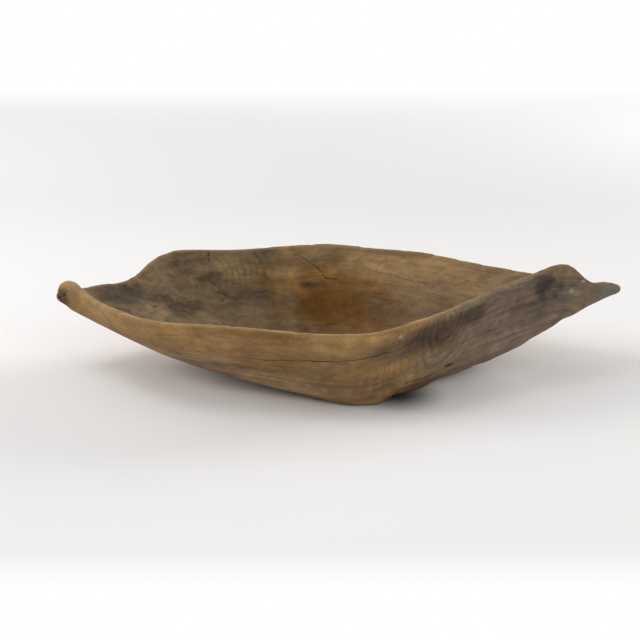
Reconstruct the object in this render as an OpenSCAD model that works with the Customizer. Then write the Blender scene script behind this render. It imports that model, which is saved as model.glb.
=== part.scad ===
// Hand-hewn dough bowl: one billet of wood, hollowed, with a pointed horn at each end.
// X runs from horn to horn, Y across, Z up. The origin is under the middle, on the table.

/* [Overall] */
// Length of the bowl from horn to horn
bowl_length = 616; // [420:2:760]
// Width of the bowl across the rim
bowl_width = 298; // [220:2:360]
// Height of the tallest point of the rim
bowl_height = 118; // [90:1:150]

/* [Foot] */
// Length of the flat that the bowl stands on
foot_length = 258; // [180:2:300]
// Width of the flat that the bowl stands on
foot_width = 220; // [140:2:240]
// How far the flat lies forward of the middle of the bowl
foot_forward = 9; // [0:1:20]

/* [Walls] */
// Thickness of the lip
lip = 9; // [6:0.5:14]
// Thickness of the wall where it turns under
wall = 15; // [10:0.5:22]
// Thickness of the wood under the hollow
floor_thickness = 15; // [10:0.5:22]
// Solid wood from the tip of each horn to the hollow
horn_solid = 22; // [14:1:36]
// How far the ends of the hollow slope from the lip down to the turn of the wall
horn_slope = 40; // [25:1:60]

/* [Hidden] */

// The lip's outer edge, from the left horn along the near side and back along the far side, in
// shares of half the length, half the width and the height
rim_shares = [
    [-0.985,  0.015, 0.805], [-0.935, -0.080, 0.800], [-0.845, -0.290, 0.750],
    [-0.735, -0.535, 0.725], [-0.590, -0.750, 0.710], [-0.410, -0.865, 0.725],
    [-0.230, -0.930, 0.710], [-0.095, -0.985, 0.700], [ 0.025, -0.995, 0.695],
    [ 0.125, -0.940, 0.700], [ 0.250, -0.785, 0.735], [ 0.385, -0.575, 0.780],
    [ 0.520, -0.405, 0.875], [ 0.655, -0.230, 0.940], [ 0.792, -0.080, 1.000],
    [ 0.843, -0.060, 0.905], [ 0.890, -0.025, 0.815], [ 0.955,  0.015, 0.790],
    [ 1.000,  0.060, 0.755], [ 0.960,  0.210, 0.720], [ 0.865,  0.370, 0.710],
    [ 0.720,  0.510, 0.735], [ 0.525,  0.725, 0.778], [ 0.330,  0.905, 0.830],
    [ 0.140,  0.955, 0.855], [-0.040,  1.000, 0.890], [-0.230,  0.975, 0.870],
    [-0.405,  0.935, 0.845], [-0.540,  0.930, 0.850], [-0.640,  0.885, 0.850],
    [-0.715,  0.705, 0.800], [-0.765,  0.550, 0.700], [-0.815,  0.430, 0.668],
    [-0.875,  0.295, 0.695], [-0.940,  0.180, 0.695], [-0.970,  0.095, 0.780],
];

// The line where the wall turns under, in the same shares, with one point for every second
// point of the rim
turn_shares = [
    [-1.006,  0.020, 0.600], [-0.790, -0.195, 0.390], [-0.540, -0.515, 0.253],
    [-0.200, -0.720, 0.100], [ 0.050, -0.860, 0.035], [ 0.220, -0.655, 0.135],
    [ 0.450, -0.370, 0.265], [ 0.700, -0.140, 0.450], [ 0.810, -0.035, 0.490],
    [ 0.900,  0.085, 0.605], [ 0.765,  0.275, 0.400], [ 0.440,  0.555, 0.270],
    [ 0.090,  0.800, 0.290], [-0.250,  0.805, 0.315], [-0.490,  0.720, 0.330],
    [-0.645,  0.515, 0.355], [-0.755,  0.290, 0.375], [-0.905,  0.100, 0.485],
];

// The edge of the foot, likewise, in shares of half the foot's length and width, with the
// share of a straight slope at which the underside rises from there to the turn
foot_shares = [
    [-1.000, -0.090, 0.90], [-0.920, -0.200, 0.97], [-0.645, -0.455, 1.00],
    [-0.150, -0.880, 1.00], [ 0.210, -1.000, 1.00], [ 0.395, -0.750, 1.00],
    [ 0.665, -0.525, 0.80], [ 0.855, -0.255, 0.70], [ 0.930, -0.090, 0.70],
    [ 0.990,  0.090, 0.70], [ 0.945,  0.325, 0.70], [ 0.630,  0.675, 0.75],
    [ 0.055,  0.965, 0.80], [-0.455,  0.925, 0.80], [-0.785,  0.690, 0.80],
    [-0.945,  0.400, 0.85], [-1.000,  0.165, 0.90], [-1.000,  0.000, 1.00],
];

lens_power = 1.4; // of the plan that the walls' thickness follows; 1 is a diamond, 2 an ellipse
horn_back_share = 0.15; // of half the width, by which the right horn's middle lies back
bend_share = 0.6; // of half the length, where the middle line has come to there
bed_share = 0.76; // of the foot's outline, where the level floor of the hollow begins
floor_ring_shares = [0.7, 0.35];
floor_dish = 3; // how much deeper the hollow is in its middle
cut = 4; // overrun of the cut that makes the foot flat

rib_steps = 5; // columns of the skin for each point of the rim
corner_steps = [2, 4, 2, 2, 3, 3, 4, 6]; // rings of the skin for each corner of a rib

half = [bowl_length / 2, bowl_width / 2];
half_foot = [foot_length / 2, foot_width / 2];
size = [half[0], half[1], bowl_height];

function flat(v) = [v[0], v[1]];
function mix(a, b, t) = a + (b - a) * t;
function bow(a, b, c, t) = mix(mix(a, b, t), mix(b, c, t), t);
function scaled(v, by) = [for (i = [0 : len(by) - 1]) v[i] * by[i]];

// A smooth closed line through points. Its pace follows the distance between them, so that
// close points make no loop.
function pace(a, b) = sqrt(norm(b - a));
function through(p0, p1, p2, p3, share) =
    let (
        t1 = pace(p0, p1),
        t2 = t1 + pace(p1, p2),
        t3 = t2 + pace(p2, p3),
        t = mix(t1, t2, share),
        a1 = mix(p0, p1, t / t1),
        a2 = mix(p1, p2, (t - t1) / (t2 - t1)),
        a3 = mix(p2, p3, (t - t2) / (t3 - t2)),
        b1 = mix(a1, a2, t / t2),
        b2 = mix(a2, a3, (t - t1) / (t3 - t1))
    )
    mix(b1, b2, (t - t1) / (t2 - t1));
function closed_line(points, steps) =
    let (n = len(points))
    [
        for (i = [0 : n - 1])
            for (k = [0 : steps - 1])
                through(points[(i + n - 1) % n], points[i], points[(i + 1) % n],
                        points[(i + 2) % n], k / steps)
    ];

rim = closed_line([for (s = rim_shares) scaled(s, size)], rib_steps);
turn = closed_line([for (s = turn_shares) scaled(s, size)], 2 * rib_steps);
foot = [
    for (p = closed_line([for (s = foot_shares) scaled(s, half_foot)], 2 * rib_steps))
        p - [0, foot_forward]
];
lift_shares = closed_line([for (s = foot_shares) [s[0], s[1], s[2]]], 2 * rib_steps);
columns = len(rim);

// The direction that the walls' thickness is measured in: square to a lens-shaped plan
function outward(p) =
    let (n = [for (i = [0 : 1]) sign(p[i]) * pow(abs(p[i]) / half[i], lens_power - 1) / half[i]])
    n / norm(n);

// The middle line of the hollow: straight on the left, drawn back towards the right horn
function middle(x) =
    let (share = max(0, min(1, x / half[0] / bend_share)))
    half[1] * horn_back_share * (1 - cos(180 * share)) / 2;

// Moves a line inwards without ever crossing the middle: far out it moves by the full amount,
// close to the middle by less
function shrink(x, by) = x == 0 ? 0 : x * (1 - by / norm([x, 2 * by]));
// Keeps the hollow short of the horns: close to the limit, x closes on it ever slower
function short_of(limit, x, ease) =
    let (over = abs(x) - limit + ease)
    over <= 0 ? x : sign(x) * (limit - ease * exp(-over / ease));
function inset(p, by, limit) =
    let (
        side = p[1] - middle(p[0]),
        n = by * outward([p[0], side]),
        x = short_of(limit, shrink(p[0], abs(n[0])), by)
    )
    [x, middle(x) + shrink(side, abs(n[1]))];

// A line that starts and ends at the ends of p and rounds its corners
function rounded(p) =
    let (last = len(p) - 1)
    [
        p[0],
        for (i = [1 : last - 1])
            for (k = [0 : corner_steps[i - 1] - 1])
                bow(mix(p[i - 1], p[i], 0.5), p[i], mix(p[i], p[i + 1], 0.5),
                    k / corner_steps[i - 1]),
        mix(p[last - 1], p[last], 0.5),
        p[last],
    ];

// One column of the skin, from the foot up the outside, over the lip and down into the hollow.
// Inside the turn the wood is as thick as the floor, above the underside that lies below.
function rib(c) =
    let (
        edge = flat(rim[c]),
        top = rim[c][2],
        under = flat(turn[c]),
        belly = mix(foot[c], under, 0.5),
        reach = half[0] - horn_solid,
        inner_edge = inset(edge, lip, reach),
        inner_brow = inset(edge, 1.5 * lip, reach - lip / 2),
        inner_turn = inset(under, wall, reach - horn_slope),
        climb = max(0, 1 - norm(under - inner_turn) / norm(under - foot[c]))
    )
    concat(
        [concat(foot[c] * (1 - cut / foot_width), -cut)],
        rounded([
            concat(foot[c], 0),
            concat(belly, lift_shares[c][2] * turn[c][2] / 2),
            turn[c],
            mix(turn[c], concat(edge, top - lip), 0.5),
            concat(edge, top - lip),
            concat(edge, top),
            concat(inner_edge, top),
            concat(inner_brow, top - lip),
            concat(inner_turn, floor_thickness + climb * turn[c][2]),
            concat(foot[c] * bed_share, floor_thickness),
        ]),
        [for (s = floor_ring_shares)
            concat(foot[c] * bed_share * s, floor_thickness - floor_dish * (1 - s * s))]
    );

module skin() {
    ribs = [for (c = [0 : columns - 1]) rib(c)];
    rings = len(ribs[0]);
    under = rings * columns;
    points = concat(
        [for (r = [0 : rings - 1]) for (c = [0 : columns - 1]) ribs[c][r]],
        [[0, -foot_forward, -cut], [0, -foot_forward, floor_thickness - floor_dish]]
    );
    faces = [
        for (c = [0 : columns - 1])
            let (d = (c + 1) % columns, last = (rings - 1) * columns)
            each concat(
                [[under, c, d], [under + 1, last + d, last + c]],
                [
                    for (r = [0 : rings - 2])
                        let (a = r * columns + c, b = r * columns + d)
                        each [[a, a + columns, b + columns], [a, b + columns, b]]
                ]
            )
    ];
    polyhedron(points, faces, convexity = 6);
}

module bowl() {
    color("peru")
    difference() {
        skin();
        translate([-bowl_length, -bowl_width, -2 * cut])
            cube([2 * bowl_length, 2 * bowl_width, 2 * cut]);
    }
}

bowl();
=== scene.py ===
"""Looks of a hand-hewn dough bowl: one billet of old wood with a wavy lip and two horns."""

import logging
import math
from dataclasses import dataclass
from enum import Enum

import bmesh
import bpy
import numpy as np
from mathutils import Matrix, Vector, noise


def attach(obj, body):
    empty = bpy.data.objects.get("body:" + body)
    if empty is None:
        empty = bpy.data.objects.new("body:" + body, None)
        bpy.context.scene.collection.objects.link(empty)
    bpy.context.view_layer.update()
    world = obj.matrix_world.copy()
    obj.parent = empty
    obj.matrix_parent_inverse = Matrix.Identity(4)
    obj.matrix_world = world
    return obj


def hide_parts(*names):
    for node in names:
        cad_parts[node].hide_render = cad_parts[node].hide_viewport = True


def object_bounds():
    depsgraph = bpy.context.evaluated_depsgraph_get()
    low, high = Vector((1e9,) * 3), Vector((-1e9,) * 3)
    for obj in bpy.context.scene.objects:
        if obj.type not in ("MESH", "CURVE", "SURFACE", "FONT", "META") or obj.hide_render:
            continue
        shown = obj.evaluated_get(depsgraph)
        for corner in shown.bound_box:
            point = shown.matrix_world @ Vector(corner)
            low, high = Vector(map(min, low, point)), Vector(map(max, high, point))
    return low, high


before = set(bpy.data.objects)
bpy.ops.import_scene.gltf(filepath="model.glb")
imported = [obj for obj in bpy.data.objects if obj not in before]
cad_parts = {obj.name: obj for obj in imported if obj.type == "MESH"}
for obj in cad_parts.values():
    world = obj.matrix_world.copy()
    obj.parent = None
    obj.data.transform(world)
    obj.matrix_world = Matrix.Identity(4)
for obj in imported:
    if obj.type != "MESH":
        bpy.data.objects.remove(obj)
cad_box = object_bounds()
log = logging.getLogger("dough_bowl")

Point = tuple[float, float, float]
Colour = tuple[float, float, float]
Socket = bpy.types.NodeSocket
MM = 0.001
# How far a crack's line may be off the surface before it counts as further away
SKIN = 5 * MM
# Keeps a division away from zero
TINY = 1e-6


class Side(Enum):
    """Which skin of the bowl a mark lies on."""

    INSIDE = "inside"
    OUTSIDE = "outside"
    BOTH = "both"


class Tone(Enum):
    """The colours that the old wood has taken on, as plain linear colours."""

    TAN = (0.32, 0.190, 0.078)
    HONEY = (0.41, 0.250, 0.092)
    AMBER = (0.26, 0.140, 0.050)
    UMBER = (0.18, 0.115, 0.064)
    CHALK = (0.44, 0.300, 0.160)
    HEMP = (0.27, 0.190, 0.120)
    ASH = (0.24, 0.180, 0.122)
    DRIFT = (0.198, 0.146, 0.100)
    DRAB = (0.150, 0.108, 0.078)
    DUSK = (0.074, 0.049, 0.034)
    PLUM = (0.058, 0.044, 0.042)
    SLATE = (0.178, 0.158, 0.134)
    MOLE = (0.214, 0.147, 0.082)
    OLIVE = (0.33, 0.230, 0.108)
    PEAT = (0.115, 0.082, 0.052)
    RUST = (0.29, 0.150, 0.042)
    EMBER = (0.165, 0.066, 0.007)
    STRAW = (0.47, 0.300, 0.138)
    SAND = (0.34, 0.220, 0.110)
    BARK = (0.095, 0.052, 0.030)
    BONE = (0.62, 0.52, 0.38)


@dataclass(frozen=True)
class Patch:
    """A soft-edged area of one tone. Lengths are in millimetres.

    A band above zero keeps the patch that close to the lip. A small edge makes it crisp.
    """

    tone: Tone
    centre: Point
    reach: Point
    strength: float
    side: Side = Side.OUTSIDE
    band: float = 0.0
    ragged: float = 0.35
    edge: float = 1.0


@dataclass(frozen=True)
class Crack:
    """A drying crack along a line of points on the wood. Lengths are in millimetres."""

    points: tuple[Point, ...]
    width: float
    depth: float
    waver: float = 1.6
    faint: float = 0.35
    dark: float = 0.85


@dataclass(frozen=True)
class Pit:
    """A hole or dent: its centre, the direction of its long axis and its sizes in millimetres."""

    centre: Point
    along: Point
    length: float
    width: float
    depth: float
    dark: float


@dataclass(frozen=True)
class Shift:
    """A place where the skin is drawn aside or swollen outwards. Lengths are in millimetres."""

    centre: Point
    reach: Point
    by: Point
    swell: float = 0.0


class Trait(Enum):
    """What the finer pattern of the wood shows in an area."""

    RINGS = 0
    SMOKE = 1
    STREAKS = 2


@dataclass(frozen=True)
class Area:
    """An area with more of one trait. Lengths are in millimetres."""

    trait: Trait
    centre: Point
    reach: Point
    strength: float
    side: Side = Side.OUTSIDE


@dataclass(frozen=True)
class Cloud:
    """A fractal pattern: features in a metre, finer layers, their strength and distortion."""

    scale: float
    detail: float
    rough: float
    swirl: float = 0.0


@dataclass(frozen=True)
class Span:
    """A range of values, and what its two ends become."""

    low: float
    high: float
    to_low: float = 0.0
    to_high: float = 1.0


def ramp01(value: np.ndarray) -> np.ndarray:
    """A smooth step from 0 to 1 as the value goes from 0 to 1."""
    t = np.clip(value, 0.0, 1.0)
    return t * t * (3.0 - 2.0 * t)


def fade(away: np.ndarray) -> np.ndarray:
    """A smooth fall from 1 to 0 that is halfway where a point is one reach away."""
    return ramp01(1.5 - away)


def reaches_away(points: np.ndarray, centre: Point, reach: Point) -> np.ndarray:
    """How many reaches each point, in metres, is from a centre in millimetres."""
    offset = (points - np.array(centre) * MM) / (np.array(reach) * MM)
    return np.linalg.norm(offset, axis=1)


@dataclass(frozen=True)
class Rise:
    """A smooth rise from 0 to 1: the value where it starts, and its length."""

    start: float
    length: float

    def at(self, values: np.ndarray) -> np.ndarray:
        """How far the rise has come at each value."""
        return ramp01((values - self.start) / self.length)


@dataclass(frozen=True)
class Speckle:
    """Fractal noise for the mesh: features in a metre, a seed and how many layers it has."""

    scale: float
    seed: float
    octaves: int

    def at(self, points: np.ndarray, reseed: float = 0.0) -> np.ndarray:
        """Smooth noise of about -1 to 1.

        Args:
            points: Places, one row each, in metres.
            reseed: Added to the seed.

        Returns:
            One value for each row.
        """
        seed = self.seed + reseed
        shift = Vector((seed, 2.7 * seed, -1.9 * seed))
        return np.array([
            noise.fractal(Vector(p) * self.scale + shift, 1.0, 2.0, self.octaves)
            for p in points.tolist()
        ])


def on_side(side: Side, inside: np.ndarray) -> np.ndarray:
    """How far each point lies on a side of the skin.

    Args:
        side: The side that is asked for.
        inside: 1 in the hollow and 0 outside.

    Returns:
        One value a point, from 0 to 1.
    """
    if side is Side.INSIDE:
        return inside
    if side is Side.OUTSIDE:
        return 1.0 - inside
    return np.ones(len(inside))


def line_distance(points: np.ndarray, normals: np.ndarray,
                  line: tuple[Point, ...]) -> tuple[np.ndarray, np.ndarray]:
    """How far points of the surface are from a broken line, measured along the surface.

    Args:
        points: Places on the surface, one row each, in metres.
        normals: The surface's directions there.
        line: The corners of the line in millimetres, close to the surface.

    Returns:
        The distances in metres, and how far along the line the nearest place is, from 0 to 1.
    """
    corners = np.array(line) * MM
    runs = np.linalg.norm(np.diff(corners, axis=0), axis=1)
    starts = np.concatenate([[0.0], np.cumsum(runs)])
    best = np.full(len(points), np.inf)
    share = np.zeros(len(points))
    for i, run in enumerate(runs):
        step = (corners[i + 1] - corners[i]) / run
        t = np.clip((points - corners[i]) @ step, 0.0, run)
        offset = points - corners[i] - t[:, None] * step
        lift = (offset * normals).sum(axis=1)
        gap = np.linalg.norm(offset - lift[:, None] * normals, axis=1)
        gap = gap + np.maximum(np.abs(lift) - SKIN, 0.0)
        nearer = gap < best
        best[nearer] = gap[nearer]
        share[nearer] = (starts[i] + t[nearer]) / starts[-1]
    return best, share


class Graph:
    """Builds a material's nodes from left to right."""

    def __init__(self, name: str) -> None:
        """Starts an empty material.

        Args:
            name: The material's name.
        """
        self.material = bpy.data.materials.new(name)
        self.material.use_nodes = True
        self.tree = self.material.node_tree
        self.tree.nodes.clear()

    def node(self, kind: str, **settings: object) -> bpy.types.Node:
        """Adds a node.

        Args:
            kind: The node's type.
            **settings: Values for its properties.

        Returns:
            The new node.
        """
        made = self.tree.nodes.new(kind)
        for key, value in settings.items():
            setattr(made, key, value)
        return made

    def feed(self, socket: Socket, value: object) -> None:
        """Links a socket to another, or sets its value.

        Args:
            socket: The input that is fed.
            value: A socket or a constant.
        """
        if isinstance(value, Socket):
            self.tree.links.new(value, socket)
        elif isinstance(value, tuple) and len(value) == 3 and socket.type == "RGBA":
            socket.default_value = (*value, 1.0)
        else:
            socket.default_value = value

    def maths(self, kind: str, *values: object, clamp: bool = False) -> Socket:
        """A Math node.

        Args:
            kind: Its operation.
            *values: What goes into it.
            clamp: Whether the result is held within 0 to 1.

        Returns:
            The result.
        """
        made = self.node("ShaderNodeMath", operation=kind, use_clamp=clamp)
        for socket, value in zip(made.inputs, values):
            self.feed(socket, value)
        return made.outputs[0]

    def vector(self, kind: str, *values: object) -> Socket:
        """A Vector Math node.

        Args:
            kind: Its operation.
            *values: What goes into it.

        Returns:
            The vector, or the number where the operation is a length.
        """
        made = self.node("ShaderNodeVectorMath", operation=kind)
        for socket, value in zip(made.inputs, values):
            self.feed(socket, value)
        return made.outputs["Value" if kind == "LENGTH" else "Vector"]

    def blend(self, share: object, low: object, high: object) -> Socket:
        """Mixes two colours.

        Args:
            share: How much of the second colour there is.
            low: The first colour.
            high: The second colour.

        Returns:
            The mixed colour.
        """
        made = self.node("ShaderNodeMix", data_type="RGBA")
        self.feed(made.inputs["Factor"], share)
        self.feed(made.inputs[6], low)
        self.feed(made.inputs[7], high)
        return made.outputs[2]

    def levels(self, value: Socket, span: Span) -> Socket:
        """Maps a range of values onto another smoothly.

        Args:
            value: What is mapped.
            span: The range, and what its ends become.

        Returns:
            The mapped value.
        """
        made = self.node("ShaderNodeMapRange", interpolation_type="SMOOTHSTEP")
        entries = (value, span.low, span.high, span.to_low, span.to_high)
        for socket, entry in zip(made.inputs, entries):
            self.feed(socket, entry)
        return made.outputs[0]

    def cloud(self, place: Socket, cloud: Cloud) -> Socket:
        """A Noise texture's value, about 0.5 on average.

        Args:
            place: The coordinates.
            cloud: The pattern.

        Returns:
            The value.
        """
        made = self.node("ShaderNodeTexNoise")
        self.feed(made.inputs["Vector"], place)
        for key, value in (("Scale", cloud.scale), ("Detail", cloud.detail),
                           ("Roughness", cloud.rough), ("Distortion", cloud.swirl)):
            made.inputs[key].default_value = value
        return made.outputs["Fac"]

    def mark(self, name: str) -> bpy.types.Node:
        """The node that reads an attribute of the mesh."""
        return self.node("ShaderNodeAttribute", attribute_name=name)

    def surface(self, colour: object, roughness: object, bump: Socket | None = None,
                **constants: float) -> bpy.types.Material:
        """Ends the graph with a Principled surface.

        Args:
            colour: The base colour.
            roughness: The roughness.
            bump: The normal, if it is bumped.
            **constants: Values of other sockets, with their spaces written as underscores.

        Returns:
            The finished material.
        """
        shader = self.node("ShaderNodeBsdfPrincipled")
        self.feed(shader.inputs["Base Color"], colour)
        self.feed(shader.inputs["Roughness"], roughness)
        if bump is not None:
            self.feed(shader.inputs["Normal"], bump)
        for key, value in constants.items():
            shader.inputs[key.replace("_", " ")].default_value = value
        out = self.node("ShaderNodeOutputMaterial")
        self.tree.links.new(shader.outputs[0], out.inputs["Surface"])
        return self.material


@dataclass(frozen=True)
class OldWood:
    """Dry, close-grained wood, rubbed by hands, with rings, fibres, mottling and dark cracks, and
    a lip that is lighter partly from rubbing and partly from a painted highlight.

    Lengths are in metres. A shade multiplies the tone that the mesh carries.
    """

    pith: Point = (0.110, -0.090, 0.082)
    pith_line: Point = (0.56, -0.48, 0.67)
    far_pith: Point = (-0.178, 0.100, 0.070)
    far_pith_line: Point = (0.30, -0.85, 0.43)
    crack_colour: Colour = (0.020, 0.012, 0.008)
    # The lip's lighter colour: partly rubbed wood, partly a painted highlight.
    lip_wear_highlight_colour: Colour = (0.46, 0.29, 0.118)
    smoke_colour: Colour = (0.075, 0.052, 0.034)

    ring_width: float = 0.0078
    ring_stray: float = 0.030
    ring_depth: float = 0.44
    ring_rise: Span = Span(0.25, 0.85)
    ring_fall: Span = Span(0.88, 1.0, 1.0, 0.0)
    ring_gaps: Span = Span(0.38, 0.62, 0.2, 1.0)
    waver: Cloud = Cloud(22.0, 4.0, 0.6)

    grain_squeeze: float = 0.055
    mottle_squeeze: Point = (0.5, 1.0, 1.0)
    coarse: Cloud = Cloud(150.0, 4.0, 0.6, 0.4)
    fine: Cloud = Cloud(900.0, 2.0, 0.6)
    broad: Cloud = Cloud(14.0, 4.0, 0.6, 0.6)
    mottle: Cloud = Cloud(60.0, 5.0, 0.62, 0.8)
    smoke: Cloud = Cloud(34.0, 5.0, 0.62, 1.4)
    grit: Cloud = Cloud(330.0, 3.0, 0.65)
    blotch: Cloud = Cloud(130.0, 3.0, 0.6, 0.5)
    flecks: Cloud = Cloud(230.0, 2.0, 0.5, 1.0)
    dashes: Cloud = Cloud(520.0, 2.0, 0.5)

    plain_shade: float = 0.87
    plain_blotch: float = 0.25
    coarse_shade: Span = Span(0.30, 0.70, -0.28, 0.22)
    fine_shade: Span = Span(0.30, 0.70, 0.94, 1.06)
    broad_shade: Span = Span(0.30, 0.70, 0.88, 1.14)
    mottle_shade: Span = Span(0.32, 0.68, 0.82, 1.17)
    grit_shade: Span = Span(0.30, 0.70, 0.92, 1.08)
    blotch_shade: Span = Span(0.34, 0.66, -0.16, 0.17)
    fleck_edge: Span = Span(0.62, 0.72)
    fleck_depth: float = 0.14
    dash_edge: Span = Span(0.60, 0.72)
    dash_depth: float = 0.12
    smoke_edge: Span = Span(0.52, 0.63)
    smoke_depth: float = 0.6
    wear_highlight_gaps: Span = Span(0.35, 0.65, 0.45, 1.0)

    roughness: Span = Span(0.3, 0.7, 0.62, 0.80)
    crack_roughness: float = 0.25
    gloss: float = 0.15
    fine_relief: float = 0.5
    grit_relief: float = 0.35
    coarse_relief: float = 0.45
    ring_relief: float = -0.8
    bump_strength: float = 0.28
    bump_distance: float = 0.0006

    def rings(self, g: Graph, place: Socket, pith: Point, line: Point) -> Socket:
        """The growth rings: 0 in the pale wood, 1 on the dark lines.

        Args:
            g: The material's graph.
            place: Coordinates of the wood in metres.
            pith: A place on the line that the rings run round.
            line: That line's direction.

        Returns:
            The rings' darkness.
        """
        from_pith = g.vector("SUBTRACT", place, pith)
        radius = g.vector("LENGTH", g.vector("CROSS_PRODUCT", from_pith, line))
        waver = g.maths("MULTIPLY", g.cloud(place, self.waver), self.ring_stray)
        turns = g.maths("DIVIDE", g.maths("ADD", radius, waver), self.ring_width)
        part = g.maths("FRACT", turns)
        rise = g.levels(part, self.ring_rise)
        fall = g.levels(part, self.ring_fall)
        return g.maths("MULTIPLY", rise, fall)

    def parts(self, g: Graph, name: str) -> tuple[Socket, ...]:
        """Reads the three numbers of one of the mesh's marks.

        Args:
            g: The material's graph.
            name: The attribute's name.

        Returns:
            The numbers.
        """
        split = g.node("ShaderNodeSeparateXYZ")
        g.feed(split.inputs[0], g.mark(name).outputs["Vector"])
        return tuple(split.outputs)

    def material(self) -> bpy.types.Material:
        """Builds the wood's nodes.

        Returns:
            The finished material.
        """
        g = Graph("old_wood")
        place = g.node("ShaderNodeTexCoord").outputs["Object"]
        tone = g.mark("tone").outputs["Color"]
        inside, below, level = self.parts(g, "marks")
        # The second of the faults is the lip's lighter band, partly rubbing and partly a painted
        # highlight.
        crack, lip_wear_and_highlight, _ = self.parts(g, "faults")
        ring_share, smoke_share, streak_share = self.parts(g, "traits")

        spot = g.node("ShaderNodeSeparateXYZ")
        g.feed(spot.inputs[0], place)
        wall = g.node("ShaderNodeCombineXYZ")
        g.feed(wall.inputs[0], g.maths("MULTIPLY", spot.outputs[0], self.grain_squeeze))
        g.feed(wall.inputs[1], below)
        g.feed(wall.inputs[2], g.maths("MULTIPLY", spot.outputs[1], self.grain_squeeze))
        along_wall = wall.outputs[0]
        along_floor = g.vector("MULTIPLY", place, (self.grain_squeeze, 1.0, 1.0))
        coarse, fine = (
            g.blend(level, g.cloud(along_wall, fibres), g.cloud(along_floor, fibres))
            for fibres in (self.coarse, self.fine)
        )
        drawn = g.vector("MULTIPLY", place, self.mottle_squeeze)
        mottle = g.cloud(drawn, self.mottle)
        blotch = g.cloud(drawn, self.blotch)
        broad, smoke, grit = (
            g.cloud(place, cloud) for cloud in (self.broad, self.smoke, self.grit)
        )
        flecks = g.levels(g.cloud(along_wall, self.flecks), self.fleck_edge)
        dashes = g.levels(g.cloud(along_wall, self.dashes), self.dash_edge)
        rings = g.blend(inside, self.rings(g, place, self.pith, self.pith_line),
                        self.rings(g, place, self.far_pith, self.far_pith_line))

        streak = g.maths("MULTIPLY", g.levels(coarse, self.coarse_shade), streak_share)
        shade = g.maths("ADD", self.plain_shade, streak)
        for cloud, span in ((fine, self.fine_shade), (broad, self.broad_shade),
                            (mottle, self.mottle_shade), (grit, self.grit_shade)):
            shade = g.maths("MULTIPLY", shade, g.levels(cloud, span))
        spotted = g.maths("MULTIPLY_ADD", smoke_share, 1.0 - self.plain_blotch,
                          self.plain_blotch)
        blotched = g.levels(blotch, self.blotch_shade)
        shade = g.maths("MULTIPLY", shade, g.maths("MULTIPLY_ADD", blotched, spotted, 1.0))
        for cloud, depth in ((flecks, self.fleck_depth), (dashes, self.dash_depth)):
            shade = g.maths("SUBTRACT", shade, g.maths("MULTIPLY", cloud, depth))
        ring_cut = g.maths("MULTIPLY", g.maths("MULTIPLY", rings, ring_share), self.ring_depth)
        ring_cut = g.maths("MULTIPLY", ring_cut, g.levels(mottle, self.ring_gaps))
        shade = g.maths("MULTIPLY", shade, g.maths("SUBTRACT", 1.0, ring_cut))

        smoked = g.maths("MULTIPLY", g.levels(smoke, self.smoke_edge), smoke_share)
        smoked = g.maths("MULTIPLY", smoked, self.smoke_depth)
        colour = g.vector("SCALE", g.blend(smoked, tone, self.smoke_colour))
        g.feed(colour.node.inputs["Scale"], shade)
        # Lightens the lip, partly for rubbing and partly as a painted highlight on its near and
        # left parts.
        worn_and_lit = g.maths("MULTIPLY", lip_wear_and_highlight, g.levels(mottle, self.wear_highlight_gaps))
        colour = g.blend(worn_and_lit, colour, self.lip_wear_highlight_colour)
        colour = g.blend(crack, colour, self.crack_colour)

        rough = g.levels(mottle, self.roughness)
        rough = g.maths("ADD", rough, g.maths("MULTIPLY", crack, self.crack_roughness))
        height = g.maths("MULTIPLY", fine, self.fine_relief)
        for cloud, relief in ((grit, self.grit_relief), (coarse, self.coarse_relief),
                              (ring_cut, self.ring_relief)):
            height = g.maths("ADD", height, g.maths("MULTIPLY", cloud, relief))
        bump = g.node("ShaderNodeBump")
        bump.inputs["Strength"].default_value = self.bump_strength
        bump.inputs["Distance"].default_value = self.bump_distance
        g.feed(bump.inputs["Height"], height)
        return g.surface(colour, rough, bump.outputs[0], Specular_IOR_Level=self.gloss)


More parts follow.
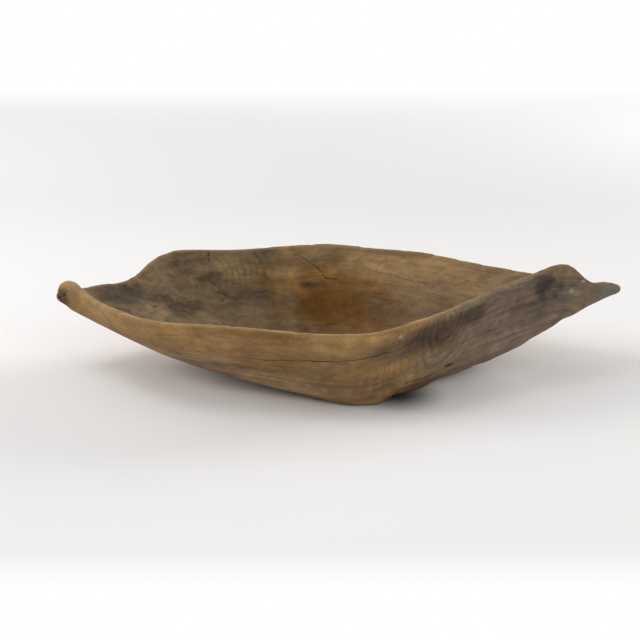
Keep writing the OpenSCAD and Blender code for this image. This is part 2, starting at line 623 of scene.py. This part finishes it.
@dataclass
class Bowl:
    """The bowl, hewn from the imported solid: refined, relaxed, tooled, cracked and coloured.

    Its own sizes are in metres, and those of its cracks, pits, shifts, areas and patches in
    millimetres.
    """

    weld: float = 1e-5
    face_angle: float = 0.6
    shape_angle: float = 3.1
    round_levels: int = 2
    voxel: float = 0.00275
    relax_rounds: int = 2
    relax_share: float = 0.5
    split_reaches: tuple[float, ...] = (0.0040, 0.0030, 0.0013)
    split_stray: float = 1.2 * MM

    swell_depth: float = 0.0011
    swells: Speckle = Speckle(17.0, 3.1, 2)
    tool_depth: float = 0.0005
    tool_marks: Point = (22.0, 48.0, 48.0)
    fibre_depth: float = 0.00018
    fibre_squeeze: Point = (0.06, 1.0, 1.0)
    fibres: Speckle = Speckle(420.0, 8.3, 2)
    lip_chip_depth: float = 0.0007
    chips: Speckle = Speckle(70.0, 5.9, 3)
    chip_rise: Rise = Rise(0.25, 0.5)
    chip_height: float = 0.006
    foot_rise: Rise = Rise(0.001, 0.004)
    foot_flat: float = 0.0008

    lip_bearings: int = 360
    lip_spread: int = 3
    hollow_edge: float = 2.0
    level_rise: Rise = Rise(0.7, 0.25)
    # The lip's lighter band, partly rubbing and partly a painted highlight: its height and
    # strength, and how much less of it the back and the right get.
    wear_highlight_height: float = 0.0026
    wear_highlight_share: float = 0.8
    plain_lip_share: float = 0.65
    plain_lip_back: Rise = Rise(-0.02, 0.05)
    plain_lip_right: Rise = Rise(0.08, 0.06)

    end_middle: Point = (-0.288, 0.003, 0.083)
    end_reach: Point = (0.016, 0.013, 0.0125)
    end_round: float = 0.0042
    end_side_share: float = 0.5
    end_flat: float = 0.15

    crack_stray: Speckle = Speckle(110.0, 11.0, 4)
    crack_stray_reach: float = 0.01
    crack_breaks: float = 9.0
    crack_break_edge: float = 2.0
    crack_seed: float = 4.0
    crack_taper: float = 8.0
    crack_end: float = 0.25
    crack_profile: float = 0.7
    crack_blackness: float = 1.6
    pit_wall: float = 2.2
    pit_rim: float = 1.05
    pit_skin: float = 6 * MM
    tone_edges: Speckle = Speckle(30.0, 21.0, 4)
    trait_edges: Speckle = Speckle(25.0, 31.0, 3)
    trait_ragged: float = 0.4

    cracks: tuple[Crack, ...] = (
        Crack(((-115, -115, 51), (-74, -124, 48), (-40, -135, 52), (-2, -143, 54),
               (18, -141, 56), (38, -135, 58), (55, -125, 59), (69, -117, 65),
               (84, -109, 71)), 0.8, 0.9, waver=1.0, faint=0.25),
        Crack(((-102, 133, 99), (-98, 130, 94), (-94, 127, 86), (-95, 123, 78)), 0.5, 0.8),
        Crack(((-53, 134, 95), (-45, 133, 91), (-36, 131, 86), (-26, 129, 79), (-17, 127, 74),
               (-13, 123, 66), (-2, 123, 66), (7, 122, 62)), 0.75, 1.0, waver=2.2),
        Crack(((36, 123, 79), (52, 120, 75), (69, 116, 72), (94, 107, 67), (114, 100, 68)),
              0.9, 0.25, waver=0.8, faint=0.2, dark=0.45),
        Crack(((-154, 131, 100), (-155, 128, 94), (-154, 124, 88)), 1.3, 1.2, faint=0.2,
              dark=0.6),
        Crack(((-36, 131, 86), (-30, 132, 88), (-22, 131, 86)), 0.5, 0.6),
        Crack(((-26, 129, 79), (-21, 129, 82), (-12, 128, 80)), 0.45, 0.5),
        Crack(((62, -101, 12), (69, -97, 15), (92, -79, 17), (106, -71, 19)),
              1.3, 0.8, waver=1.2, faint=0.3, dark=0.6),
        Crack(((120, -63, 25), (130, -62, 36), (147, -53, 41)), 0.5, 0.6, waver=1.2,
              faint=0.5, dark=0.5),
    )
    pits: tuple[Pit, ...] = (
        Pit((113, -67, 22), (0.83, 0.50, 0.25), 7.0, 2.9, 5.0, 1.0),
        Pit((-36, 120, 60), (1.0, 0.0, 0.3), 3.0, 1.4, 0.8, 0.5),
        Pit((-302, -2, 79), (0.0, 0.3, 1.0), 2.0, 1.4, 1.5, 0.8),
        Pit((-296, -6, 83), (0.0, 0.3, 1.0), 2.0, 1.2, 0.6, 0.4),
    )
    shifts: tuple[Shift, ...] = (
        Shift((42, -112, 4), (16, 14, 8), (2.0, -3.0, -1.5)),
        Shift((76, -86, 10), (38, 24, 12), (0.0, -1.0, -4.0)),
        Shift((165, -44, 36), (54, 30, 18), (0.0, 0.0, -1.0), swell=2.2),
        Shift((138, -43, 15), (28, 24, 14), (0.0, 0.0, -0.6), swell=2.4),
        Shift((182, -25, 29), (38, 24, 14), (0.0, 0.0, -0.8), swell=2.6),
        Shift((222, -12, 47), (22, 20, 12), (0.0, 0.0, -0.5), swell=1.6),
        Shift((300, 16, 84), (22, 30, 20), (0.0, 0.0, 0.0), swell=1.9),
        Shift((268, 4, 66), (30, 26, 13), (0.0, 0.0, -3.5)),
        Shift((-300, 2, 84), (16, 20, 20), (0.0, 0.0, 0.0), swell=1.0),
    )
    everywhere: Point = (0.08, 0.25, 0.22)
    areas: tuple[Area, ...] = (
        Area(Trait.RINGS, (104, -88, 58), (42, 40, 40), 1.0),
        Area(Trait.RINGS, (30, -130, 30), (70, 40, 24), 0.45),
        Area(Trait.RINGS, (-122, 114, 72), (38, 30, 26), 0.75, Side.INSIDE),
        Area(Trait.SMOKE, (-180, 60, 66), (110, 100, 40), 1.0, Side.INSIDE),
        Area(Trait.SMOKE, (-20, 90, 34), (110, 60, 34), 0.6, Side.INSIDE),
        Area(Trait.SMOKE, (200, -40, 80), (120, 60, 50), 0.5),
        Area(Trait.STREAKS, (200, -40, 70), (130, 70, 60), 0.95),
        Area(Trait.STREAKS, (-130, -90, 28), (170, 60, 24), 1.0),
        Area(Trait.STREAKS, (110, 90, 80), (150, 60, 40), 0.5, Side.INSIDE),
        Area(Trait.STREAKS, (0, 140, 50), (220, 60, 50), 0.7),
    )
    patches: tuple[Patch, ...] = (
        Patch(Tone.HONEY, (-168, -108, 70), (50, 40, 16), 0.8),
        Patch(Tone.HONEY, (-10, -147, 72), (56, 30, 10), 0.8),
        Patch(Tone.AMBER, (-82, -136, 80), (34, 16, 5), 0.95, ragged=0.7, edge=0.7),
        Patch(Tone.AMBER, (-52, -139, 74), (22, 14, 6), 0.6, ragged=0.8),
        Patch(Tone.HEMP, (-140, -92, 34), (56, 30, 14), 0.8),
        Patch(Tone.CHALK, (-62, -112, 20), (64, 34, 11), 0.85),
        Patch(Tone.UMBER, (48, -130, 56), (40, 26, 13), 0.9),
        Patch(Tone.DRIFT, (190, -40, 60), (112, 66, 90), 1.0, ragged=0.15),
        Patch(Tone.ASH, (185, -36, 42), (110, 50, 15), 0.7),
        Patch(Tone.ASH, (95, -88, 30), (34, 26, 12), 0.6),
        Patch(Tone.DRAB, (192, -38, 80), (34, 22, 15), 0.7),
        Patch(Tone.DUSK, (92, -102, 70), (40, 32, 15), 0.85, ragged=0.2),
        Patch(Tone.DUSK, (130, -76, 82), (26, 16, 15), 0.85, ragged=0.2),
        Patch(Tone.PLUM, (217, -24, 100), (13, 16, 14), 0.9, ragged=0.8, edge=0.5),
        Patch(Tone.PLUM, (236, -15, 86), (16, 12, 8), 0.6, ragged=1.0, edge=0.7),
        Patch(Tone.SLATE, (246, -12, 85), (16, 10, 9), 0.7),
        Patch(Tone.PLUM, (264, -7, 101), (20, 12, 7), 0.6),
        Patch(Tone.UMBER, (86, -76, 9), (34, 20, 6), 0.85),
        Patch(Tone.CHALK, (70, -99, 21), (6, 8, 4), 0.8),
        Patch(Tone.CHALK, (62, -102, 14), (6, 8, 4), 0.8),
        Patch(Tone.ASH, (150, -65, 98), (90, 46, 26), 0.9, band=8.0, ragged=0.15),
        Patch(Tone.TAN, (72, -120, 86), (26, 20, 14), 0.8, band=7.0),
        Patch(Tone.HONEY, (-240, -62, 82), (56, 44, 24), 1.0),
        Patch(Tone.UMBER, (18, -130, 22), (50, 20, 14), 0.6),
        Patch(Tone.DUSK, (104, -88, 60), (26, 20, 12), 0.6, ragged=0.2),
        Patch(Tone.DRIFT, (290, 0, 84), (44, 40, 40), 1.0),
        Patch(Tone.SLATE, (294, 6, 84), (20, 22, 16), 0.85),
        Patch(Tone.BARK, (-302, -3, 79), (11, 11, 11), 0.85, Side.BOTH, ragged=0.5, edge=0.7),
        Patch(Tone.BARK, (-297, -5, 86), (5, 5, 5), 0.8, Side.BOTH, ragged=0.3, edge=0.5),
        Patch(Tone.HONEY, (-297, -5, 86.5), (2.2, 2.2, 2.2), 0.9, Side.BOTH, ragged=0.1),
        Patch(Tone.DUSK, (78, -115, 57), (16, 16, 12), 0.4),
        # The left horn's lighter top: partly the wood's honey tone, partly a painted highlight.
        Patch(Tone.HONEY, (-292, -4, 95), (14, 12, 7), 0.8, Side.BOTH),
        Patch(Tone.CHALK, (-42, -118, 17), (26, 20, 8), 0.5),
        Patch(Tone.UMBER, (-128, -96, 28), (22, 16, 10), 0.45),
        Patch(Tone.BONE, (57, -129, 74), (1.9, 1.9, 1.9), 0.9, ragged=0.1),
        Patch(Tone.BONE, (250, -11, 89), (3, 3, 1.6), 0.7),
        Patch(Tone.BONE, (263, -8, 98), (2, 2, 1.6), 0.6),
        Patch(Tone.OLIVE, (-126, 119, 76), (34, 24, 15), 0.9, Side.INSIDE),
        Patch(Tone.OLIVE, (-204, 46, 52), (16, 14, 8), 0.7, Side.INSIDE),
        Patch(Tone.OLIVE, (-225, 78, 76), (14, 14, 6), 0.25, Side.INSIDE),
        Patch(Tone.RUST, (-5, 122, 66), (84, 30, 24), 0.95, Side.INSIDE),
        Patch(Tone.STRAW, (-60, 126, 74), (20, 14, 8), 0.6, Side.INSIDE),
        Patch(Tone.STRAW, (84, 116, 83), (72, 30, 17), 0.95, Side.INSIDE),
        Patch(Tone.HONEY, (-46, 137, 98), (24, 14, 9), 0.45, Side.INSIDE),
        Patch(Tone.STRAW, (-14, 136, 98), (50, 12, 7), 0.3, Side.INSIDE),
        Patch(Tone.SAND, (150, 86, 74), (62, 42, 26), 0.9, Side.INSIDE),
        Patch(Tone.STRAW, (140, 98, 88), (34, 20, 12), 0.6, Side.INSIDE),
        Patch(Tone.SAND, (86, 98, 52), (26, 24, 12), 0.85, Side.INSIDE),
        Patch(Tone.UMBER, (122, 86, 48), (22, 24, 10), 0.5, Side.INSIDE),
        Patch(Tone.EMBER, (2, 98, 36), (68, 36, 22), 0.95, Side.INSIDE),
        Patch(Tone.EMBER, (0, 20, 14), (110, 80, 20), 0.6, Side.INSIDE),
        Patch(Tone.PEAT, (-246, 42, 69), (32, 24, 13), 1.0, Side.INSIDE),
        Patch(Tone.DUSK, (-250, 38, 72), (22, 18, 10), 0.35, Side.INSIDE),
        Patch(Tone.PEAT, (-207, 65, 61), (14, 14, 9), 0.7, Side.INSIDE),
        Patch(Tone.PEAT, (-178, 60, 47), (20, 18, 9), 0.7, Side.INSIDE),
        Patch(Tone.PEAT, (-98, 107, 49), (15, 10, 7), 0.8, Side.INSIDE),
        Patch(Tone.BARK, (-38, 120, 60), (10, 8, 3.5), 0.8, Side.INSIDE, ragged=0.9),
        Patch(Tone.BARK, (-20, 121, 61), (7, 6, 2.6), 0.5, Side.INSIDE, ragged=0.9),
    )

    def merged_copy(self) -> bpy.types.Object:
        """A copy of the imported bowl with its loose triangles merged.

        Returns:
            The copy, as an object of its own.
        """
        bm = bmesh.new()
        bm.from_mesh(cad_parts["bowl"].data)
        bmesh.ops.remove_doubles(bm, verts=bm.verts[:], dist=self.weld)
        bmesh.ops.join_triangles(bm, faces=bm.faces[:], angle_face_threshold=self.face_angle,
                                 angle_shape_threshold=self.shape_angle)
        mesh = bpy.data.meshes.new("carved_bowl")
        bm.to_mesh(mesh)
        bm.free()
        piece = bpy.data.objects.new("carved_bowl", mesh)
        bpy.context.scene.collection.objects.link(piece)
        return piece

    def even_skin(self, piece: bpy.types.Object) -> None:
        """Rounds off the solid's facets and gives it small faces of one size.

        Args:
            piece: The merged copy. Its mesh is replaced.
        """
        rounder = piece.modifiers.new("rounder", "SUBSURF")
        rounder.levels = rounder.render_levels = self.round_levels
        even = piece.modifiers.new("even", "REMESH")
        even.mode = "VOXEL"
        even.voxel_size = self.voxel
        graph = bpy.context.evaluated_depsgraph_get()
        mesh = bpy.data.meshes.new_from_object(piece.evaluated_get(graph))
        piece.modifiers.clear()
        old, piece.data = piece.data, mesh
        bpy.data.meshes.remove(old)
        mesh.name = "carved_bowl"

    def split_near_faults(self, bm: bmesh.types.BMesh) -> None:
        """Makes the faces finer where cracks and pits will be cut.

        Args:
            bm: The even skin.
        """
        lines = [crack.points for crack in self.cracks]
        for pit in self.pits:
            middle, along = Vector(pit.centre), Vector(pit.along).normalized() * pit.length
            lines.append((tuple(middle - along), tuple(middle + along)))
        for reach in self.split_reaches:
            bm.normal_update()
            middles = np.array([(e.verts[0].co + e.verts[1].co) / 2 for e in bm.edges])
            normals = np.array([(e.verts[0].normal + e.verts[1].normal).normalized()
                                for e in bm.edges])
            moved = middles + self.waver(middles, normals) * self.split_stray
            near = np.zeros(len(middles), bool)
            for line in lines:
                near |= line_distance(moved, normals, line)[0] < reach
            edges = [e for e, chosen in zip(bm.edges[:], near.tolist()) if chosen]
            bmesh.ops.subdivide_edges(bm, edges=edges, cuts=1, use_grid_fill=True)

    def waver(self, points: np.ndarray, normals: np.ndarray) -> np.ndarray:
        """How far the cracks stray sideways at each point that is close to one.

        Args:
            points: Places, one row each, in metres.
            normals: The surface's directions there.

        Returns:
            One offset a row, of about -1 to 1 each way.
        """
        near = np.zeros(len(points), bool)
        for crack in self.cracks:
            near |= line_distance(points, normals, crack.points)[0] < self.crack_stray_reach
        stray = np.zeros_like(points)
        for axis in range(3):
            stray[near, axis] = self.crack_stray.at(points[near], reseed=axis)
        return stray

    def lip_height(self, points: np.ndarray) -> np.ndarray:
        """How high the lip stands at each point's bearing from the middle.

        Args:
            points: Places, one row each, in metres.

        Returns:
            The heights in metres.
        """
        half = np.abs(points[:, :2]).max(axis=0)
        bearing = np.arctan2(points[:, 1] / half[1], points[:, 0] / half[0])
        turn = (bearing + math.pi) / (2 * math.pi) * self.lip_bearings
        top = np.zeros(self.lip_bearings)
        np.maximum.at(top, turn.astype(int) % self.lip_bearings, points[:, 2])
        wide = np.concatenate([top[-self.lip_spread:], top, top[:self.lip_spread]])
        window = 2 * self.lip_spread + 1
        smooth = np.convolve(wide, np.ones(window) / window, mode="valid")
        return np.interp(turn - 0.5, np.arange(self.lip_bearings), smooth,
                         period=self.lip_bearings)

    def tool(self, points: np.ndarray, below: np.ndarray) -> np.ndarray:
        """How deep the surface is worked at each point: swells, tool marks, fibres and chips.

        Args:
            points: Places, one row each, in metres.
            below: How far each lies under the lip, in metres.

        Returns:
            The depths in metres.
        """
        depth = self.swell_depth * (0.5 + 0.5 * self.swells.at(points))
        cells = points * np.array(self.tool_marks)
        nearest = np.array([noise.voronoi(Vector(p))[0][0] for p in cells.tolist()])
        depth += self.tool_depth * np.clip(1.0 - nearest, 0.0, 1.0) ** 2
        squeezed = points * np.array(self.fibre_squeeze)
        depth += self.fibre_depth * (0.5 + 0.5 * self.fibres.at(squeezed))
        chips = self.lip_chip_depth * self.chip_rise.at(self.chips.at(points))
        depth += chips * ramp01(1 - below / self.chip_height)
        return np.maximum(depth, 0.0) * self.foot_rise.at(points[:, 2])

    def faults(self, points: np.ndarray,
               normals: np.ndarray) -> tuple[np.ndarray, np.ndarray]:
        """Where the cracks and pits are, and how deep.

        Args:
            points: Places, one row each, in metres.
            normals: The surface's directions there.

        Returns:
            The depths in metres, and the darkness from 0 to 1.
        """
        depth = np.zeros(len(points))
        dark = np.zeros(len(points))
        waver = self.waver(points, normals)
        for crack in self.cracks:
            gap, share = line_distance(points + waver * crack.waver * MM, normals,
                                       crack.points)
            row = self.crack_seed * crack.width
            breaks = np.array([noise.noise(Vector((self.crack_breaks * t, row, 0.5)))
                               for t in share.tolist()])
            from_end = np.minimum(share, 1.0 - share)
            taper = np.clip(self.crack_taper * from_end + self.crack_end, 0.0, 1.0)
            broken = ramp01(0.5 + self.crack_break_edge * breaks)
            taper = taper * (1.0 - crack.faint * broken)
            width = crack.width * MM * taper
            near = np.clip(1.0 - gap / width, 0.0, 1.0)
            depth = np.maximum(depth, crack.depth * MM * taper * near ** self.crack_profile)
            dark = np.maximum(dark, crack.dark * ramp01(near * self.crack_blackness) * taper)
        for pit in self.pits:
            along = np.array(Vector(pit.along).normalized())
            offset = points - np.array(pit.centre) * MM
            lift = (offset * normals).sum(axis=1)
            offset = offset - lift[:, None] * normals
            run = offset @ along
            rest = np.linalg.norm(offset - run[:, None] * along, axis=1)
            reach = np.hypot(run / (pit.length * MM), rest / (pit.width * MM))
            reach = reach + (np.abs(lift) > self.pit_skin)
            near = ramp01(self.pit_wall * (self.pit_rim - reach))
            depth = np.maximum(depth, pit.depth * MM * near)
            dark = np.maximum(dark, pit.dark * near)
        return depth, dark

    def tones(self, points: np.ndarray, inside: np.ndarray, below: np.ndarray) -> np.ndarray:
        """The wood's broad colour at each point.

        Args:
            points: Places, one row each, in metres.
            inside: 1 in the hollow and 0 outside.
            below: How far each lies under the lip, in metres.

        Returns:
            One linear colour a row.
        """
        rough = self.tone_edges.at(points)
        colour = (1 - inside[:, None]) * np.array(Tone.TAN.value)
        colour += inside[:, None] * np.array(Tone.MOLE.value)
        for patch in self.patches:
            ragged = patch.ragged * rough
            away = reaches_away(points, patch.centre, patch.reach) - ragged
            share = ramp01(0.5 + (1.0 - away) / patch.edge)
            share = share * patch.strength * on_side(patch.side, inside)
            if patch.band:
                share = share * fade(below / (patch.band * MM) - ragged)
            colour += share[:, None] * (np.array(patch.tone.value) - colour)
        return colour

    def traits(self, points: np.ndarray, inside: np.ndarray) -> np.ndarray:
        """How much of each trait the wood shows at each point.

        Args:
            points: Places, one row each, in metres.
            inside: 1 in the hollow and 0 outside.

        Returns:
            One row of rings, smoke and streaks for each, from 0 to 1.
        """
        ragged = self.trait_ragged * self.trait_edges.at(points)
        shares = np.tile(np.array(self.everywhere), (len(points), 1))
        for area in self.areas:
            away = reaches_away(points, area.centre, area.reach) - ragged
            share = area.strength * fade(away) * on_side(area.side, inside)
            kind = area.trait.value
            shares[:, kind] = np.maximum(shares[:, kind], share)
        return shares

    def fit_to_solid(self, points: np.ndarray) -> np.ndarray:
        """Takes the rounding's slight shrinkage back, so that the skin fills the solid's box.

        Args:
            points: Places, one row each, in metres.

        Returns:
            The places, stretched to the box.
        """
        low, high = (np.array(corner) for corner in cad_box)
        mine_low, mine_high = points.min(axis=0), points.max(axis=0)
        share = (points - mine_low) / (mine_high - mine_low)
        return low + share * (high - low)

    def rounded_end(self, points: np.ndarray) -> np.ndarray:
        """Rounds the corners of the left horn's blunt end.

        Args:
            points: Places, one row each, in metres.

        Returns:
            The places, with those at the end's corners drawn in.
        """
        away = (points - np.array(self.end_middle)) / np.array(self.end_reach)
        corner = away[:, 2] ** 2 + self.end_side_share * away[:, 1] ** 2
        pull = np.clip(corner - self.end_flat, 0.0, 1.0)
        moved = points.copy()
        moved[:, 0] += self.end_round * ramp01(-away[:, 0]) * pull
        return moved

    def shifted(self, points: np.ndarray, normals: np.ndarray) -> np.ndarray:
        """Draws the skin aside at the places that are set down for it.

        Args:
            points: Places, one row each, in metres.
            normals: The surface's directions there.

        Returns:
            The places after all the shifts.
        """
        moved = points.copy()
        for shift in self.shifts:
            share = fade(reaches_away(points, shift.centre, shift.reach))[:, None]
            moved += share * (np.array(shift.by) + shift.swell * normals) * MM
        return moved

    def in_hollow(self, points: np.ndarray, normals: np.ndarray) -> np.ndarray:
        """Tells the hollow from the outside by the way the surface faces.

        Args:
            points: Places, one row each, in metres.
            normals: The surface's directions there.

        Returns:
            1 in the hollow and 0 outside, with a soft change over the lip.
        """
        plan = points[:, :2] / np.abs(points[:, :2]).max(axis=0) ** 2
        plan = plan / np.maximum(np.linalg.norm(plan, axis=1), TINY)[:, None]
        outward = (normals[:, :2] * plan).sum(axis=1)
        return ramp01(0.5 + self.hollow_edge * (normals[:, 2] - outward))

    def lip_wear_and_highlight(self, points: np.ndarray, below: np.ndarray) -> np.ndarray:
        """How much the lip is lightened, partly for rubbing by hands and partly as a painted
        highlight, least at the back and at the right.

        Args:
            points: Places, one row each, in metres.
            below: How far each lies under the lip, in metres.

        Returns:
            One value a point, from 0 to 1.
        """
        lip_wear_and_highlight = ramp01(1.0 - np.abs(below) / self.wear_highlight_height) * self.wear_highlight_share
        for rise, axis in ((self.plain_lip_back, 1), (self.plain_lip_right, 0)):
            lip_wear_and_highlight = lip_wear_and_highlight * (1.0 - self.plain_lip_share * rise.at(points[:, axis]))
        return lip_wear_and_highlight

    def write_marks(self, mesh: bpy.types.Mesh, points: np.ndarray, normals: np.ndarray,
                    below: np.ndarray, dark: np.ndarray) -> None:
        """Writes the attributes that the material reads.

        Args:
            mesh: The finished mesh.
            points: Its places before they were worked, one row each, in metres.
            normals: The surface's directions there.
            below: How far each lies under the lip, in metres.
            dark: How dark the cracks and pits are, from 0 to 1.
        """
        inside = self.in_hollow(points, normals)
        level = self.level_rise.at(np.abs(normals[:, 2]))
        # The lip's lighter band: partly rubbing, partly a painted highlight.
        lip_wear_and_highlight = self.lip_wear_and_highlight(points, below)
        marks = {
            "marks": np.stack([inside, below, level], axis=1),
            "faults": np.stack([dark, lip_wear_and_highlight, np.zeros(len(dark))], axis=1),
            "traits": self.traits(points, inside),
        }
        for name, values in marks.items():
            layer = mesh.attributes.new(name, "FLOAT_VECTOR", "POINT")
            layer.data.foreach_set("vector", values.astype(np.float32).ravel())
        tones = self.tones(points, inside, below)
        opaque = np.concatenate([tones, np.ones((len(tones), 1))], axis=1)
        layer = mesh.attributes.new("tone", "FLOAT_COLOR", "POINT")
        layer.data.foreach_set("color", opaque.astype(np.float32).ravel())

    def finish(self, piece: bpy.types.Object) -> None:
        """Works the surface and marks it for the material.

        Args:
            piece: The object with the even skin.
        """
        bm = bmesh.new()
        bm.from_mesh(piece.data)
        for _ in range(self.relax_rounds):
            bmesh.ops.smooth_vert(bm, verts=bm.verts[:], factor=self.relax_share,
                                  use_axis_x=True, use_axis_y=True, use_axis_z=True)
        self.split_near_faults(bm)
        bmesh.ops.triangulate(bm, faces=[f for f in bm.faces if len(f.verts) > 4])
        bm.normal_update()
        normals = np.array([v.normal for v in bm.verts])
        points = self.fit_to_solid(np.array([v.co for v in bm.verts]))
        points = self.rounded_end(self.shifted(points, normals))
        below = self.lip_height(points) - points[:, 2]
        sunk, dark = self.faults(points, normals)
        depth = self.tool(points, below) + sunk
        low, high = (np.array(corner) for corner in cad_box)
        worked = np.clip(points - normals * depth[:, None], low, high)
        worked[points[:, 2] < self.foot_flat, 2] = 0.0
        for vert, place in zip(bm.verts, worked.tolist()):
            vert.co = place
        bm.to_mesh(piece.data)
        bm.free()
        piece.data.shade_smooth()
        self.write_marks(piece.data, points, normals, below, dark)

    def build(self) -> bpy.types.Object:
        """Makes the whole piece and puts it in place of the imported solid.

        Returns:
            The finished piece.
        """
        piece = self.merged_copy()
        self.even_skin(piece)
        self.finish(piece)
        piece.data.materials.clear()
        piece.data.materials.append(OldWood().material())
        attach(piece, "root")
        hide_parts("bowl")
        return piece


@dataclass(frozen=True)
class Lamp:
    """A square soft lamp that faces the bowl: its place, its width in metres and its watts."""

    name: str
    place: Point
    size: float
    power: float


@dataclass
class Studio:
    """The pale sweep with a painted contact shadow near the bowl's foot, the soft lamps and the
    camera.
    """

    pitch: float = 17.0
    lens: float = 56.25
    sensor: float = 36.0
    camera_place: Point = (-0.021, -1.0487, 0.3727)
    floor: Colour = (0.80, 0.785, 0.775)
    far_floor: Colour = (0.69, 0.685, 0.68)
    # Painted shadow: a dark tint in the paper at the right front of the bowl's foot, standing in
    # for its contact shadow.
    shade: Colour = (0.02, 0.019, 0.021)
    painted_shadow_middle: Point = (0.056, -0.090, 0.0)
    painted_shadow_reach: Point = (0.060, 0.060, 1.0)
    painted_shadow_fade: Span = Span(0.1, 1.0, 0.97, 0.0)
    paper_roughness: float = 0.9
    paper_gloss: float = 0.1
    floor_change: Span = Span(0.1, 1.1)
    white_behind: Span = Span(0.7, 4.4)
    white_before: Span = Span(-0.46, -0.39, 1.0, 0.0)
    sweep_half: float = 8.0
    sweep_radius: float = 1.5
    sweep_turn: float = 80.0
    sweep_steps: int = 12
    backdrop: Point = (0.0, 0.3, 2.0)
    world_light: float = 0.42
    lamps: tuple[Lamp, ...] = (
        Lamp("right_back", (3.3, 2.4, 1.2), 1.8, 148.0),
        Lamp("left", (-3.4, 0.4, 1.4), 1.3, 62.0),
        Lamp("left_back", (-2.0, 2.0, 1.6), 2.0, 22.0),
        Lamp("high", (-1.2, 0.3, 2.2), 1.0, 12.0),
        Lamp("front", (1.2, -2.2, 1.3), 1.8, 18.0),
    )

    def sweep_material(self) -> bpy.types.Material:
        """Pale paper with a painted contact shadow near the bowl's foot, seen as white at the
        front and at the back.

        Returns:
            The finished material.
        """
        g = Graph("pale_paper")
        place = g.node("ShaderNodeTexCoord").outputs["Object"]
        spot = g.node("ShaderNodeSeparateXYZ")
        g.feed(spot.inputs[0], place)
        depth = spot.outputs[1]
        path = g.node("ShaderNodeLightPath")
        seen = g.maths("ADD", path.outputs["Is Camera Ray"], path.outputs["Is Glossy Ray"])
        seen = g.maths("ADD", seen, path.outputs["Is Transmission Ray"], clamp=True)
        ends = g.maths("MAXIMUM", g.levels(depth, self.white_before),
                       g.levels(depth, self.white_behind))
        white = g.maths("MULTIPLY", ends, seen)
        paper = g.blend(g.levels(depth, self.floor_change), self.floor, self.far_floor)
        # Paints the contact shadow into the paper's colour: darkest at its middle, fading out
        # over its reach.
        offset = g.vector("SUBTRACT", place, self.painted_shadow_middle)
        away = g.vector("LENGTH", g.vector("DIVIDE", offset, self.painted_shadow_reach))
        paper = g.blend(g.levels(away, self.painted_shadow_fade), paper, self.shade)
        g.surface(paper, self.paper_roughness, Specular_IOR_Level=self.paper_gloss)
        glow = g.node("ShaderNodeEmission")
        glow.inputs["Strength"].default_value = 1.0
        both = g.node("ShaderNodeMixShader")
        g.feed(both.inputs[0], white)
        g.feed(both.inputs[1], g.tree.nodes["Principled BSDF"].outputs[0])
        g.feed(both.inputs[2], glow.outputs[0])
        g.feed(g.tree.nodes["Material Output"].inputs["Surface"], both.outputs[0])
        return g.material

    def sweep(self) -> bpy.types.Object:
        """Makes the floor, curving up into a backdrop behind the bowl.

        Returns:
            The floor.
        """
        bm = bmesh.new()
        bmesh.ops.create_grid(bm, x_segments=1, y_segments=1, size=self.sweep_half)
        edge = [e for e in bm.edges if all(v.co.y > 0.99 * self.sweep_half for v in e.verts)]
        rise = bmesh.ops.spin(bm, geom=edge, cent=(0, self.sweep_half, self.sweep_radius),
                              axis=(1, 0, 0), dvec=(0, 0, 0),
                              angle=math.radians(self.sweep_turn), steps=self.sweep_steps)
        lines = [e for e in rise["geom_last"] if isinstance(e, bmesh.types.BMEdge)]
        up = bmesh.ops.extrude_edge_only(bm, edges=lines)["geom"]
        bmesh.ops.translate(bm, verts=[v for v in up if isinstance(v, bmesh.types.BMVert)],
                            vec=self.backdrop)
        mesh = bpy.data.meshes.new("sweep")
        bm.to_mesh(mesh)
        bm.free()
        mesh.shade_smooth()
        floor = bpy.data.objects.new("sweep", mesh)
        floor.data.materials.append(self.sweep_material())
        bpy.context.scene.collection.objects.link(floor)
        return floor

    def light(self) -> None:
        """Soft lamps, mostly from the sides and the back, and an even pale surround."""
        world = bpy.data.worlds.new("surround")
        world.use_nodes = True
        backing = world.node_tree.nodes["Background"]
        backing.inputs["Color"].default_value = (1.0, 1.0, 1.0, 1.0)
        backing.inputs["Strength"].default_value = self.world_light
        bpy.context.scene.world = world
        for lamp in self.lamps:
            light = bpy.data.lights.new(lamp.name, "AREA")
            light.size = lamp.size
            light.energy = lamp.power
            holder = bpy.data.objects.new(lamp.name, light)
            holder.location = lamp.place
            holder.rotation_euler = Vector(lamp.place).to_track_quat("Z", "Y").to_euler()
            bpy.context.scene.collection.objects.link(holder)

    def camera(self) -> None:
        """The camera, at the photograph's viewing angle."""
        lens = bpy.data.cameras.new("camera")
        lens.lens = self.lens
        lens.sensor_width = self.sensor
        holder = bpy.data.objects.new("camera", lens)
        holder.location = self.camera_place
        holder.rotation_euler = (math.radians(90.0 - self.pitch), 0.0, 0.0)
        bpy.context.scene.collection.objects.link(holder)
        bpy.context.scene.camera = holder

    def build(self) -> bpy.types.Object:
        """Sets the whole stage.

        Returns:
            The floor.
        """
        bpy.context.scene.view_settings.view_transform = "Standard"
        self.camera()
        self.light()
        return self.sweep()


def main() -> None:
    """Builds the stage and the bowl."""
    logging.basicConfig(level=logging.INFO, format="%(name)s: %(message)s")
    for piece in (Studio().build(), Bowl().build()):
        log.info("%s: %d vertices, %d faces", piece.name, len(piece.data.vertices),
                 len(piece.data.polygons))
    bpy.context.view_layer.update()


if __name__ == "__main__":
    main()
